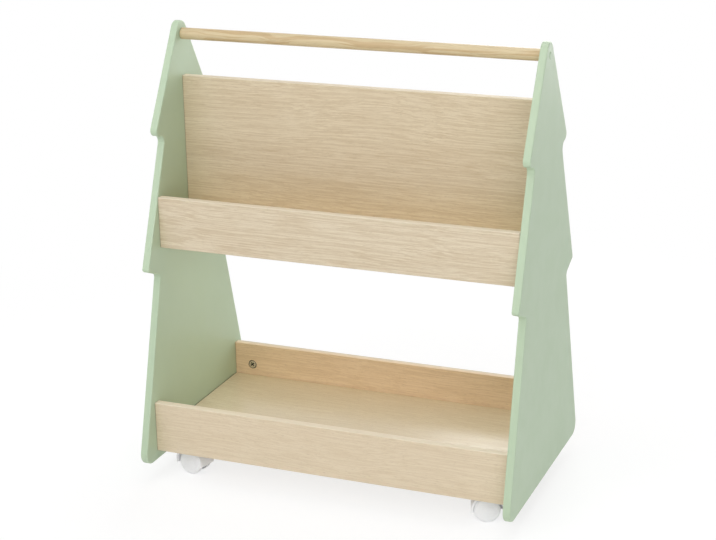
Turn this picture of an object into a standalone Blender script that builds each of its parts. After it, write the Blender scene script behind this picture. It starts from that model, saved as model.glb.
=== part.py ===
"""Mobile book rack with fir-tree side panels, open on both long sides.

Two lacquered side panels with a stepped outline carry a pine rail, an upper bin
split by a divider, and a low tray that rolls on four twin-wheel casters. Cam locks,
cam bolts and pre-glued wooden pins join every board to the panels.
Units are metres, +Z is up, the front faces -Y and the ground is z = 0.
"""
import math

import bmesh
import bpy
from mathutils import Matrix, Vector

# Clearances
FIT = 0.0003
BORE_PLAY = 0.0003

# Side panels: outline heights are measured from the panel's lower edge
OVERALL_WIDTH = 0.600
PANEL_THICKNESS = 0.012
PANEL_EDGE_ROUND = 0.002
BOTTOM_HALF_DEPTH = 0.183
LOWER_NOTCH_HALF_DEPTH = 0.1055
LOWER_NOTCH_HEIGHT = 0.2925
LOWER_TIP_HALF_DEPTH = 0.1423
LOWER_TIP_HEIGHT = 0.3076
UPPER_NOTCH_HALF_DEPTH = 0.069
UPPER_NOTCH_HEIGHT = 0.504
UPPER_TIP_HALF_DEPTH = 0.0985
UPPER_TIP_HEIGHT = 0.5103
PEAK_HEIGHT = 0.6867
BOTTOM_CORNER_RADIUS = 0.018
LOWER_NOTCH_RADIUS = 0.007
LOWER_TIP_RADIUS = 0.005
UPPER_NOTCH_RADIUS = 0.011
UPPER_TIP_RADIUS = 0.009
PEAK_RADIUS = 0.015
ARC_STEPS = 4

# Boards: lifts are measured from the panels' lower edge
BOARD_THICKNESS = 0.012
BOARD_EDGE_ROUND = 0.0008
TRAY_DEPTH = 0.292
TRAY_BOARD_HEIGHT = 0.080
TRAY_BOARD_LIFT = 0.0155
FLOOR_RECESS = 0.013
BIN_DEPTH = 0.204
LIP_HEIGHT = 0.080
LIP_LIFT = 0.3355
SHELF_RECESS = 0.013
DIVIDER_TOP = 0.5865
RAIL_DIAMETER = 0.018
RAIL_HEIGHT = 0.651

# Cam locks, bolts and wooden pins
CAM_DIAMETER = 0.0148
CAM_SETBACK = 0.031
CAM_RISE = 0.043
CAM_FLOOR = 0.0014
CAM_LID = 0.002
CAM_RECESS_DEPTH = 0.0012
CAM_RECESS_SPAN = 0.0064
CAM_RECESS_WIDTH = 0.0013
BOLT_DIAMETER = 0.005
BOLT_NECK_DIAMETER = 0.0036
BOLT_REACH = 0.008
PIN_DIAMETER = 0.006
PIN_REACH = 0.008
PIN_ROOT = 0.006
NARROW_PIN_EDGE = 0.012
WIDE_PIN_EDGE = 0.030

# Rail screws with their cover caps
RAIL_SCREW_DIAMETER = 0.004
RAIL_SCREW_REACH = 0.028
RAIL_SCREW_HEAD_DIAMETER = 0.0084
RAIL_SCREW_HEAD_DEPTH = 0.003
CAP_DIAMETER = 0.012
CAP_THICKNESS = 0.001

# Casters
CASTER_END_INSET = 0.036
CASTER_EDGE_INSET = 0.0295
WHEEL_DIAMETER = 0.040
WHEEL_WIDTH = 0.011
WHEEL_GAP = 0.012
WHEEL_SHOULDER = 0.002
WHEEL_WALL = 0.002
WHEEL_DISH = 0.0008
WHEEL_CAP_DIAMETER = 0.012
WHEEL_HUB_DIAMETER = 0.010
AXLE_DIAMETER = 0.004
AXLE_END_REACH = 0.008
TRAIL = 0.010
HOOD_PLAY = 0.0025
HOOD_SHIFT = 0.0015
HOOD_WALL = 0.003
HOOD_DROP = 0.004
HOOD_SIDE_ROUND = 0.0015
WEB_THICKNESS = 0.004
SWIVEL_NECK = 0.0049
COLLAR_DIAMETER = 0.018
KINGPIN_DIAMETER = 0.006
KINGPIN_REACH = 0.014
RACE_DIAMETER = 0.026
RACE_DEPTH = 0.005
PLATE_SIZE = 0.038
PLATE_THICKNESS = 0.002
PLATE_CORNER_RADIUS = 0.004

# Way each caster trails at rest, in degrees about +Z from +X
CASTER_REST_ANGLES = {
    "front_left": -12.0,
    "front_right": 199.0,
    "rear_left": 28.0,
    "rear_right": 160.0,
}

# Places worked out from the driving dimensions
X_AXIS = Vector((1, 0, 0))
Y_AXIS = Vector((0, 1, 0))
Z_AXIS = Vector((0, 0, 1))
INNER_HALF_WIDTH = OVERALL_WIDTH / 2 - PANEL_THICKNESS
BOARD_LENGTH = 2 * (INNER_HALF_WIDTH - FIT)
WHEEL_RADIUS = WHEEL_DIAMETER / 2
HOOD_INNER_RADIUS = WHEEL_RADIUS + HOOD_PLAY
HOOD_RADIUS = HOOD_INNER_RADIUS + HOOD_WALL
BOSS_TOP = WHEEL_RADIUS + HOOD_RADIUS + SWIVEL_NECK
PLATE_TOP = BOSS_TOP + FIT + RACE_DEPTH + PLATE_THICKNESS
FLOOR_UNDERSIDE = PLATE_TOP + FIT
TRAY_BOARD_BOTTOM = FLOOR_UNDERSIDE - FLOOR_RECESS
PANEL_BOTTOM = TRAY_BOARD_BOTTOM - TRAY_BOARD_LIFT
TRAY_BOARD_Y = TRAY_DEPTH / 2 - BOARD_THICKNESS / 2
LIP_BOTTOM = PANEL_BOTTOM + LIP_LIFT
LIP_Y = BIN_DEPTH / 2 - BOARD_THICKNESS / 2
SHELF_UNDERSIDE = LIP_BOTTOM + SHELF_RECESS
DIVIDER_BOTTOM = SHELF_UNDERSIDE + BOARD_THICKNESS + FIT
DIVIDER_HEIGHT = PANEL_BOTTOM + DIVIDER_TOP - DIVIDER_BOTTOM
RAIL_Z = PANEL_BOTTOM + RAIL_HEIGHT
CAM_HEIGHT = BOARD_THICKNESS - CAM_FLOOR - 2 * FIT
BOLT_HEAD_RADIUS = BOARD_THICKNESS / 2 - CAM_LID - 2 * FIT
BOLT_BORE_RADIUS = BOLT_HEAD_RADIUS + BORE_PLAY + 0.0001
CASTER_X = INNER_HALF_WIDTH - CASTER_END_INSET
CASTER_Y = TRAY_BOARD_Y - BOARD_THICKNESS / 2 - CASTER_EDGE_INSET

# Finishes: base colour, roughness and metallic value
MINT_LACQUER = ("mint_lacquer", (0.47, 0.61, 0.45), 0.42, 0.0)
OAK_LAMINATE = ("oak_laminate", (0.64, 0.50, 0.33), 0.50, 0.0)
PINE = ("pine", (0.72, 0.53, 0.28), 0.45, 0.0)
NICKEL_STEEL = ("nickel_steel", (0.50, 0.49, 0.46), 0.35, 1.0)
ZINC_ALLOY = ("zinc_alloy", (0.36, 0.35, 0.33), 0.40, 1.0)
WHITE_NYLON = ("white_nylon", (0.78, 0.78, 0.78), 0.35, 0.0)


def start_clean():
    """Remove the scene's objects and make the parts' and the cutters' collections."""
    for old in list(bpy.data.objects):
        bpy.data.objects.remove(old)
    made = []
    for name in ("mobile_book_rack", "cutters"):
        collection = bpy.data.collections.new(name)
        bpy.context.scene.collection.children.link(collection)
        made.append(collection)
    return made


PARTS, CUTTERS = start_clean()
FINISHES = {}


def finish_material(finish):
    """Make a finish's Principled material once, and return it."""
    name, colour, roughness, metallic = finish
    if name not in FINISHES:
        material = bpy.data.materials.new(name)
        material.use_nodes = True
        shader = material.node_tree.nodes["Principled BSDF"]
        shader.inputs["Base Color"].default_value = (*colour, 1.0)
        shader.inputs["Roughness"].default_value = roughness
        shader.inputs["Metallic"].default_value = metallic
        FINISHES[name] = material
    return FINISHES[name]


def add_part(name, mesh, finish, matrix=None, parent=None):
    """Put a mesh into the parts' collection under its own name, finish and place."""
    part = bpy.data.objects.new(name, mesh)
    PARTS.objects.link(part)
    if not mesh.materials:
        mesh.materials.append(finish_material(finish))
    part.parent = parent
    if matrix is not None:
        part.matrix_basis = matrix
    return part


def add_cutter(name, mesh, matrix=None):
    """Put a mesh into the cutters' collection, shown as wire and left out of renders."""
    cutter = bpy.data.objects.new(name, mesh)
    CUTTERS.objects.link(cutter)
    cutter.display_type = "WIRE"
    cutter.hide_render = True
    if matrix is not None:
        cutter.matrix_basis = matrix
    return cutter


def boolean(part, cutter, operation="DIFFERENCE"):
    """Cut a part by a cutter, or join the cutter's solids to it."""
    modifier = part.modifiers.new(operation.lower(), "BOOLEAN")
    modifier.operation = operation
    modifier.solver = "EXACT"
    modifier.object = cutter


def smooth_round_faces(mesh):
    """Shade a mesh smooth, with its real corners kept sharp."""
    mesh.shade_smooth()
    mesh.set_sharp_from_angle(angle=math.radians(32))


def evaluated_mesh(source):
    """Return a new mesh of an object with its modifiers or curve settings worked out."""
    graph = bpy.context.evaluated_depsgraph_get()
    graph.update()
    return bpy.data.meshes.new_from_object(source.evaluated_get(graph))


def cylinders_mesh(name, rods):
    """Make one mesh of closed cylinders, each given as start, end, radius and sides."""
    shape = bmesh.new()
    for start, end, radius, sides in rods:
        start, end = Vector(start), Vector(end)
        turn = (end - start).to_track_quat("Z", "Y").to_matrix().to_4x4()
        place = Matrix.Translation((start + end) / 2) @ turn
        bmesh.ops.create_cone(
            shape, cap_ends=True, segments=sides, radius1=radius, radius2=radius,
            depth=(end - start).length, matrix=place)
    mesh = bpy.data.meshes.new(name)
    shape.to_mesh(mesh)
    shape.free()
    return mesh


def box_mesh(name, low, high):
    """Make a box mesh between two opposite corners."""
    low, high = Vector(low), Vector(high)
    shape = bmesh.new()
    place = Matrix.Translation((low + high) / 2) @ Matrix.Diagonal((*(high - low), 1))
    bmesh.ops.create_cube(shape, size=1, matrix=place)
    mesh = bpy.data.meshes.new(name)
    shape.to_mesh(mesh)
    shape.free()
    return mesh


def turned_mesh(name, profile, steps):
    """Turn a profile of (radius, height) points, top to bottom, about the Z axis."""
    mesh = bpy.data.meshes.new(name)
    points = [(radius, 0, height) for radius, height in profile]
    edges = [(i, i + 1) for i in range(len(points) - 1)]
    mesh.from_pydata(points, edges, [])
    turning = add_cutter(name + "_profile", mesh)
    screw = turning.modifiers.new("turn", "SCREW")
    screw.axis = "Z"
    screw.angle = 2 * math.pi
    screw.steps = steps
    screw.render_steps = steps
    screw.use_merge_vertices = True
    screw.merge_threshold = 0.00001
    result = evaluated_mesh(turning)
    bpy.data.objects.remove(turning)
    smooth_round_faces(result)
    return result


def flat_outline_mesh(name, outline, thickness, edge_round, round_steps):
    """Extrude a closed outline of (x, y) points both ways along Z, with rounded rims."""
    curve = bpy.data.curves.new(name, "CURVE")
    curve.dimensions = "2D"
    curve.fill_mode = "BOTH"
    curve.extrude = thickness / 2 - edge_round
    curve.bevel_depth = edge_round
    curve.bevel_resolution = round_steps
    curve.offset = -edge_round
    spline = curve.splines.new("POLY")
    spline.points.add(len(outline) - 1)
    for point, (x, y) in zip(spline.points, outline):
        point.co = (x, y, 0, 1)
    spline.use_cyclic_u = True
    flat = add_cutter(name + "_curve", curve)
    mesh = evaluated_mesh(flat)
    bpy.data.objects.remove(flat)
    shape = bmesh.new()
    shape.from_mesh(mesh)
    bmesh.ops.remove_doubles(shape, verts=shape.verts, dist=0.00001)
    bmesh.ops.recalc_face_normals(shape, faces=shape.faces)
    shape.to_mesh(mesh)
    shape.free()
    smooth_round_faces(mesh)
    return mesh


def rounded_corner(before, corner, after, radius, steps=ARC_STEPS):
    """Return points on the arc that rounds a corner between its two neighbours."""
    before, corner, after = Vector(before), Vector(corner), Vector(after)
    towards_before = (before - corner).normalized()
    towards_after = (after - corner).normalized()
    half_angle = towards_before.angle(towards_after) / 2
    bisector = (towards_before + towards_after).normalized()
    centre = corner + bisector * radius / math.sin(half_angle)
    first = corner + towards_before * radius / math.tan(half_angle) - centre
    last = corner + towards_after * radius / math.tan(half_angle) - centre
    sweep = math.pi - 2 * half_angle
    points = []
    for step in range(steps + 1):
        part_way = step / steps
        arm = (first * math.sin((1 - part_way) * sweep) + last * math.sin(part_way * sweep))
        points.append(tuple(centre + arm / math.sin(sweep)))
    return points


def panel_outline():
    """Return the panel's stepped outline as (depth, height) points, anticlockwise."""
    front = [
        ((0.0, 0.0), None),
        ((BOTTOM_HALF_DEPTH, 0.0), BOTTOM_CORNER_RADIUS),
        ((LOWER_NOTCH_HALF_DEPTH, LOWER_NOTCH_HEIGHT), LOWER_NOTCH_RADIUS),
        ((LOWER_TIP_HALF_DEPTH, LOWER_TIP_HEIGHT), LOWER_TIP_RADIUS),
        ((UPPER_NOTCH_HALF_DEPTH, UPPER_NOTCH_HEIGHT), UPPER_NOTCH_RADIUS),
        ((UPPER_TIP_HALF_DEPTH, UPPER_TIP_HEIGHT), UPPER_TIP_RADIUS),
        ((0.0, PEAK_HEIGHT), PEAK_RADIUS),
        ((-UPPER_TIP_HALF_DEPTH, UPPER_TIP_HEIGHT), None),
    ]
    side = []
    for i in range(1, len(front) - 1):
        corner, radius = front[i]
        side += rounded_corner(front[i - 1][0], corner, front[i + 1][0], radius)
    near_side = side[:-ARC_STEPS // 2]
    far_side = [(-y, z) for y, z in reversed(near_side)]
    if abs(near_side[-1][0]) < FIT:
        far_side = far_side[1:]
    return near_side + far_side


class Board:
    """A board between the panels: its centre, its width, the width's direction,
    the face that its cams sit in, how far they are from the middle, and its pins."""

    def __init__(self, name, centre, width, across, cam_face, cam_shift, pin_edge):
        self.name = name
        self.centre = Vector(centre)
        self.width = width
        self.across = across
        self.cam_face = cam_face
        self.cam_shift = cam_shift
        self.pin_shifts = (width / 2 - pin_edge, pin_edge - width / 2)

    def end_point(self, side, inset, shift):
        """Return a point at mid-thickness, inset from an end and shifted across."""
        along = X_AXIS * side * (BOARD_LENGTH / 2 - inset)
        return self.centre + along + self.across * shift


def upright_board(name, y, bottom, height, cam_face, cam_rise, pin_edge):
    """Describe a board that stands on edge."""
    centre = (0, y, bottom + height / 2)
    return Board(name, centre, height, Z_AXIS, cam_face, cam_rise - height / 2, pin_edge)


def flat_board(name, underside, width):
    """Describe a level board, with its cams in the underside."""
    centre = (0, 0, underside + BOARD_THICKNESS / 2)
    return Board(name, centre, width, Y_AXIS, -Z_AXIS, 0.0, WIDE_PIN_EDGE)


BOARDS = [
    upright_board("tray_front_board", -TRAY_BOARD_Y, TRAY_BOARD_BOTTOM,
                  TRAY_BOARD_HEIGHT, Y_AXIS, CAM_RISE, NARROW_PIN_EDGE),
    upright_board("tray_rear_board", TRAY_BOARD_Y, TRAY_BOARD_BOTTOM,
                  TRAY_BOARD_HEIGHT, -Y_AXIS, CAM_RISE, NARROW_PIN_EDGE),
    flat_board("tray_floor_board", FLOOR_UNDERSIDE,
               TRAY_DEPTH - 2 * (BOARD_THICKNESS + FIT)),
    upright_board("bin_front_lip", -LIP_Y, LIP_BOTTOM,
                  LIP_HEIGHT, Y_AXIS, CAM_RISE, NARROW_PIN_EDGE),
    upright_board("bin_rear_lip", LIP_Y, LIP_BOTTOM,
                  LIP_HEIGHT, -Y_AXIS, CAM_RISE, NARROW_PIN_EDGE),
    flat_board("bin_shelf_board", SHELF_UNDERSIDE,
               BIN_DEPTH - 2 * (BOARD_THICKNESS + FIT)),
    upright_board("bin_divider", 0.0, DIVIDER_BOTTOM,
                  DIVIDER_HEIGHT, Y_AXIS, DIVIDER_HEIGHT / 2, WIDE_PIN_EDGE),
]
SIDES = {"left": -1, "right": 1}


def board_mesh(board):
    """Make a board's box, with its four long edges marked for rounding."""
    half_length = BOARD_LENGTH / 2
    across = board.across * board.width / 2
    through = board.cam_face * BOARD_THICKNESS / 2
    corner = X_AXIS * half_length + across + through
    size = Vector([abs(value) for value in corner])
    mesh = box_mesh(board.name, -size, size)
    shape = bmesh.new()
    shape.from_mesh(mesh)
    weight = shape.edges.layers.float.new("bevel_weight_edge")
    for edge in shape.edges:
        run = edge.verts[1].co - edge.verts[0].co
        edge[weight] = 1.0 if abs(run.x) > half_length else 0.0
    shape.to_mesh(mesh)
    shape.free()
    return mesh


def make_board(board):
    """Make a board with its glued pins, cam pockets and bolt bores."""
    part = add_part(board.name, board_mesh(board), OAK_LAMINATE,
                    Matrix.Translation(board.centre))
    bevel = part.modifiers.new("edges", "BEVEL")
    bevel.limit_method = "WEIGHT"
    bevel.width = BOARD_EDGE_ROUND
    bevel.segments = 1
    pins, pockets, bores = [], [], []
    for side in SIDES.values():
        outward = X_AXIS * side
        for shift in board.pin_shifts:
            root = board.end_point(side, PIN_ROOT, shift)
            tip = board.end_point(side, 0, shift) + outward * PIN_REACH
            pins.append((root, tip, PIN_DIAMETER / 2, 8))
        cam = board.end_point(side, CAM_SETBACK, board.cam_shift)
        pocket_top = cam + board.cam_face * BOARD_THICKNESS
        pocket_bottom = cam - board.cam_face * (BOARD_THICKNESS / 2 - CAM_FLOOR)
        pockets.append((pocket_bottom, pocket_top, CAM_DIAMETER / 2 + BORE_PLAY, 16))
        mouth = board.end_point(side, -CAM_SETBACK, board.cam_shift)
        bores.append((cam, mouth, BOLT_BORE_RADIUS, 8))
    joined = add_cutter(board.name + "_pins", cylinders_mesh(board.name + "_pins", pins))
    boolean(part, joined, "UNION")
    for label, rods in (("_pockets", pockets), ("_bores", bores)):
        mesh = cylinders_mesh(board.name + label, rods)
        boolean(part, add_cutter(board.name + label, mesh))


def cam_mesh():
    """Make a cam: a disc with a cross recess on top and a slot for the bolt's head."""
    radius = CAM_DIAMETER / 2
    disc = cylinders_mesh("cam", [((0, 0, -CAM_HEIGHT), (0, 0, 0), radius, 16)])
    cam = add_cutter("cam_blank", disc)
    arm, half, depth = CAM_RECESS_SPAN / 2, CAM_RECESS_WIDTH / 2, CAM_RECESS_DEPTH
    cutters = [
        box_mesh("cross_a", (-arm, -half, -depth), (arm, half, depth)),
        box_mesh("cross_b", (-half, -arm, -depth), (half, arm, depth)),
        box_mesh("head_slot",
                 (-BOLT_BORE_RADIUS, -BOLT_BORE_RADIUS, -2 * CAM_HEIGHT),
                 (2 * radius, BOLT_BORE_RADIUS, -CAM_LID)),
    ]
    tools = [add_cutter(mesh.name, mesh) for mesh in cutters]
    for tool in tools:
        boolean(cam, tool)
    result = evaluated_mesh(cam)
    for used in [cam, *tools]:
        bpy.data.objects.remove(used)
    smooth_round_faces(result)
    return result


def bolt_mesh():
    """Turn a cam bolt, with its thread below z = 0, the panel's inner face."""
    head_centre = CAM_SETBACK + FIT
    head_half = BOLT_HEAD_RADIUS * 0.85
    neck, shank = BOLT_NECK_DIAMETER / 2, BOLT_DIAMETER / 2
    neck_length = CAM_DIAMETER / 2
    profile = [
        (0, head_centre + head_half),
        (BOLT_HEAD_RADIUS * 0.9, head_centre + head_half * 0.6),
        (neck, head_centre - head_half),
        (neck, head_centre - neck_length),
        (shank, head_centre - neck_length - shank),
        (shank, -BOLT_REACH),
        (0, -BOLT_REACH),
    ]
    return turned_mesh("cam_bolt", profile, 6)


def make_cams_and_bolts():
    """Set a cam and its bolt at both ends of every board."""
    cam, bolt = cam_mesh(), bolt_mesh()
    for board in BOARDS:
        for label, side in SIDES.items():
            outward = X_AXIS * side
            seat = board.end_point(side, CAM_SETBACK, board.cam_shift)
            seat += board.cam_face * (BOARD_THICKNESS / 2 - FIT)
            turn = Matrix((outward, board.cam_face.cross(outward), board.cam_face))
            place = Matrix.Translation(seat) @ turn.transposed().to_4x4()
            add_part(f"cam_{board.name}_{label}", cam.copy(), ZINC_ALLOY, place)
            foot = board.end_point(side, -FIT, board.cam_shift)
            turn = (-outward).to_track_quat("Z", "Y").to_matrix().to_4x4()
            place = Matrix.Translation(foot) @ turn
            add_part(f"cam_bolt_{board.name}_{label}", bolt.copy(), NICKEL_STEEL, place)


def make_panel(label, side):
    """Make a side panel, bored for the bolts, the pins and the rail's screw."""
    mesh = flat_outline_mesh("side_panel_" + label, panel_outline(),
                             PANEL_THICKNESS, PANEL_EDGE_ROUND, 1)
    centre = Vector((side * (OVERALL_WIDTH / 2 - PANEL_THICKNESS / 2), 0, PANEL_BOTTOM))
    stand_up = Matrix(((0, 0, 1), (1, 0, 0), (0, 1, 0))).to_4x4()
    panel = add_part("side_panel_" + label, mesh, MINT_LACQUER,
                     Matrix.Translation(centre) @ stand_up)
    outward = X_AXIS * side
    bores = []
    for board in BOARDS:
        for shift in board.pin_shifts:
            face = board.end_point(side, -FIT, shift)
            bores.append((face - outward * FIT, face + outward * (PIN_REACH + FIT),
                          PIN_DIAMETER / 2 + BORE_PLAY, 8))
        face = board.end_point(side, -FIT, board.cam_shift)
        bores.append((face - outward * FIT, face + outward * (BOLT_REACH + FIT),
                      BOLT_DIAMETER / 2 + BORE_PLAY, 8))
    rail_end = Vector((side * INNER_HALF_WIDTH, 0, RAIL_Z))
    outer_face = rail_end + outward * PANEL_THICKNESS
    head_seat = outer_face - outward * (RAIL_SCREW_HEAD_DEPTH + FIT)
    bores.append((rail_end - outward * PANEL_THICKNESS, head_seat + outward * FIT,
                  RAIL_SCREW_DIAMETER / 2 + BORE_PLAY, 8))
    name = f"side_panel_{label}_bores"
    boolean(panel, add_cutter(name, cylinders_mesh(name, bores)))
    name = f"side_panel_{label}_counterbore"
    rods = [(head_seat, outer_face + outward * PANEL_THICKNESS,
             RAIL_SCREW_HEAD_DIAMETER / 2 + BORE_PLAY, 16)]
    boolean(panel, add_cutter(name, cylinders_mesh(name, rods)))


def make_rail():
    """Make the round pine rail and the capped screws that hold its ends."""
    half_length = INNER_HALF_WIDTH - FIT
    centre = Vector((0, 0, RAIL_Z))
    rod = [(-X_AXIS * half_length, X_AXIS * half_length, RAIL_DIAMETER / 2, 32)]
    mesh = cylinders_mesh("handle_rail", rod)
    smooth_round_faces(mesh)
    rail = add_part("handle_rail", mesh, PINE, Matrix.Translation(centre))
    shank = RAIL_SCREW_DIAMETER / 2
    pilots = []
    for side in SIDES.values():
        end = centre + X_AXIS * side * half_length
        tip = end - X_AXIS * side * (RAIL_SCREW_REACH + FIT)
        pilots.append((tip, end + X_AXIS * side * FIT, shank + BORE_PLAY, 8))
    boolean(rail, add_cutter("handle_rail_pilots", cylinders_mesh("pilots", pilots)))
    tip_depth = PANEL_THICKNESS + RAIL_SCREW_REACH
    head = RAIL_SCREW_HEAD_DIAMETER / 2
    profile = [
        (0, FIT + CAP_THICKNESS),
        (CAP_DIAMETER / 2 * 0.7, FIT + CAP_THICKNESS * 0.9),
        (CAP_DIAMETER / 2, FIT + CAP_THICKNESS * 0.4),
        (CAP_DIAMETER / 2, FIT),
        (head, FIT),
        (head, -RAIL_SCREW_HEAD_DEPTH),
        (shank, -RAIL_SCREW_HEAD_DEPTH),
        (shank, shank - tip_depth),
        (0, -tip_depth),
    ]
    screw = turned_mesh("rail_screw", profile, 12)
    for label, side in SIDES.items():
        outward = X_AXIS * side
        face = centre + outward * (INNER_HALF_WIDTH + PANEL_THICKNESS)
        turn = outward.to_track_quat("Z", "Y").to_matrix().to_4x4()
        add_part("rail_screw_" + label, screw.copy(), MINT_LACQUER,
                 Matrix.Translation(face) @ turn)


def wheel_mesh():
    """Turn a cup-shaped wheel: z = 0 is its open inner side, +Z its outer face."""
    rim = WHEEL_RADIUS
    inside = rim - WHEEL_WALL
    hub, bore = WHEEL_HUB_DIAMETER / 2, AXLE_DIAMETER / 2 + BORE_PLAY
    disc_inner = WHEEL_WIDTH - WHEEL_DISH - WHEEL_WALL
    dish = WHEEL_WIDTH - WHEEL_DISH
    profile = [
        (0, WHEEL_WIDTH),
        (WHEEL_CAP_DIAMETER / 2, WHEEL_WIDTH),
        (WHEEL_CAP_DIAMETER / 2 + WHEEL_DISH, dish),
        (rim - WHEEL_SHOULDER, dish),
        (rim, dish - WHEEL_SHOULDER),
        (rim, 0),
        (inside, 0),
        (inside, disc_inner),
        (hub, disc_inner),
        (hub, 0),
        (bore, 0),
        (bore, AXLE_END_REACH + BORE_PLAY),
        (0, AXLE_END_REACH + BORE_PLAY),
    ]
    return turned_mesh("twin_wheel", profile, 20)


def hood_mesh():
    """Make a hood over both wheels, with its web, axle hub and swivel boss.

    The swivel axis is the local Z axis, and the wheels trail towards +X."""
    half_width = WHEEL_WIDTH + WHEEL_GAP / 2 - WEB_THICKNESS / 4
    shoulder = half_width - HOOD_SIDE_ROUND
    centre = Vector((TRAIL - HOOD_SHIFT, 0, WHEEL_RADIUS))
    axle = Vector((TRAIL, 0, WHEEL_RADIUS))
    side_on = Matrix.Rotation(math.radians(-90), 4, "X")
    barrel = turned_mesh("hood_barrel", [
        (0, half_width),
        (HOOD_RADIUS - HOOD_SIDE_ROUND, half_width),
        (HOOD_RADIUS, shoulder),
        (HOOD_RADIUS, -shoulder),
        (HOOD_RADIUS - HOOD_SIDE_ROUND, -half_width),
        (0, -half_width),
    ], 20)
    hood = add_cutter("hood_blank", barrel, Matrix.Translation(centre) @ side_on)
    gap_half = WHEEL_GAP / 2 - FIT
    cut_line = WHEEL_RADIUS - HOOD_DROP
    reach = 2 * HOOD_RADIUS + TRAIL
    web_face = Y_AXIS * WEB_THICKNESS / 2
    across = Y_AXIS * half_width * 2
    boss_foot = Vector((0, 0, WHEEL_RADIUS + KINGPIN_DIAMETER / 2))
    boss_top = Vector((0, 0, BOSS_TOP))
    pin_foot = Vector((0, 0, BOSS_TOP - KINGPIN_REACH - FIT))
    above = Z_AXIS * RACE_DEPTH
    pin_bore = KINGPIN_DIAMETER / 2 + BORE_PLAY
    axle_bore = AXLE_DIAMETER / 2 + BORE_PLAY
    hub = WHEEL_HUB_DIAMETER / 2
    steps = [
        ("collar", "UNION", cylinders_mesh("collar", [
            (Z_AXIS * WHEEL_RADIUS * 1.5, boss_top, COLLAR_DIAMETER / 2, 16)])),
        ("wheel_wells", "DIFFERENCE", cylinders_mesh("wheel_wells", [
            (centre + web_face * side, centre + across * side, HOOD_INNER_RADIUS, 20)
            for side in (-1, 1)])),
        ("boss", "UNION", cylinders_mesh("boss", [
            (boss_foot, boss_top - Z_AXIS * SWIVEL_NECK, gap_half, 12)])),
        ("below", "DIFFERENCE", box_mesh(
            "below", (-reach, -reach, -reach), (reach, reach, cut_line))),
        ("hub", "UNION", cylinders_mesh("hub", [
            (axle - Y_AXIS * gap_half, axle + Y_AXIS * gap_half, hub, 12)])),
        ("pin_bore", "DIFFERENCE", cylinders_mesh("pin_bore", [
            (pin_foot, boss_top + above, pin_bore, 12)])),
        ("axle_bore", "DIFFERENCE", cylinders_mesh("axle_bore", [
            (axle - across, axle + across, axle_bore, 10)])),
    ]
    tools = []
    for label, operation, mesh in steps:
        tools.append(add_cutter("hood_" + label, mesh))
        boolean(hood, tools[-1], operation)
    result = evaluated_mesh(hood)
    result.transform(hood.matrix_basis)
    for used in [hood, *tools]:
        bpy.data.objects.remove(used)
    smooth_round_faces(result)
    return result


def plate_mesh():
    """Make a caster's plate with its ball race and kingpin, top face at z = 0."""
    half = PLATE_SIZE / 2
    square = [(-half, -half), (half, -half), (half, half), (-half, half)]
    outline = []
    for i, corner in enumerate(square):
        outline += rounded_corner(square[i - 1], corner, square[(i + 1) % 4],
                                  PLATE_CORNER_RADIUS, 2)
    sheet = flat_outline_mesh("plate", outline, PLATE_THICKNESS, 0, 0)
    plate = add_cutter("plate_blank", sheet,
                       Matrix.Translation((0, 0, -PLATE_THICKNESS / 2)))
    middle = -PLATE_THICKNESS / 2
    race_face = -PLATE_THICKNESS - RACE_DEPTH
    race = turned_mesh("race", [
        (0, middle),
        (RACE_DIAMETER / 2, middle),
        (RACE_DIAMETER / 2, -PLATE_THICKNESS - RACE_DEPTH / 2),
        (COLLAR_DIAMETER / 2, race_face),
        (KINGPIN_DIAMETER / 2, race_face),
        (KINGPIN_DIAMETER / 2, race_face - KINGPIN_REACH - FIT),
        (0, race_face - KINGPIN_REACH - FIT),
    ], 16)
    race = add_cutter("plate_race", race)
    boolean(plate, race, "UNION")
    result = evaluated_mesh(plate)
    result.transform(plate.matrix_basis)
    for used in (plate, race):
        bpy.data.objects.remove(used)
    smooth_round_faces(result)
    return result


def caster_pivots():
    """Return each caster's name and its swivel axis as (x, y)."""
    return {
        "front_left": (-CASTER_X, -CASTER_Y),
        "front_right": (CASTER_X, -CASTER_Y),
        "rear_left": (-CASTER_X, CASTER_Y),
        "rear_right": (CASTER_X, CASTER_Y),
    }


def make_casters():
    """Make the four casters: each hood swivels, and its two wheels turn on one axle."""
    plate, hood, wheel = plate_mesh(), hood_mesh(), wheel_mesh()
    wheel_seat = WHEEL_GAP / 2
    axle_half = wheel_seat + AXLE_END_REACH
    axle = cylinders_mesh("axle", [
        (-Y_AXIS * axle_half, Y_AXIS * axle_half, AXLE_DIAMETER / 2, 8)])
    smooth_round_faces(axle)
    for corner, (x, y) in caster_pivots().items():
        name = "caster_" + corner
        add_part(name + "_plate", plate.copy(), NICKEL_STEEL,
                 Matrix.Translation((x, y, PLATE_TOP)))
        swivel = bpy.data.objects.new(name + "_swivel", None)
        PARTS.objects.link(swivel)
        swivel.location = (x, y, 0)
        swivel.rotation_euler.z = math.radians(CASTER_REST_ANGLES[corner])
        add_part(name + "_hood", hood.copy(), WHITE_NYLON, parent=swivel)
        axle_place = Matrix.Translation((TRAIL, 0, WHEEL_RADIUS))
        add_part(name + "_axle", axle.copy(), NICKEL_STEEL, axle_place, swivel)
        for label, side in (("a", -1), ("b", 1)):
            out = Y_AXIS * side
            turn = out.to_track_quat("Z", "Y").to_matrix().to_4x4()
            place = axle_place @ Matrix.Translation(out * wheel_seat) @ turn
            add_part(f"{name}_wheel_{label}", wheel.copy(), WHITE_NYLON, place, swivel)


def build():
    """Make every piece of the rack."""
    for label, side in SIDES.items():
        make_panel(label, side)
    for board in BOARDS:
        make_board(board)
    make_rail()
    make_cams_and_bolts()
    make_casters()


build()
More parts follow.
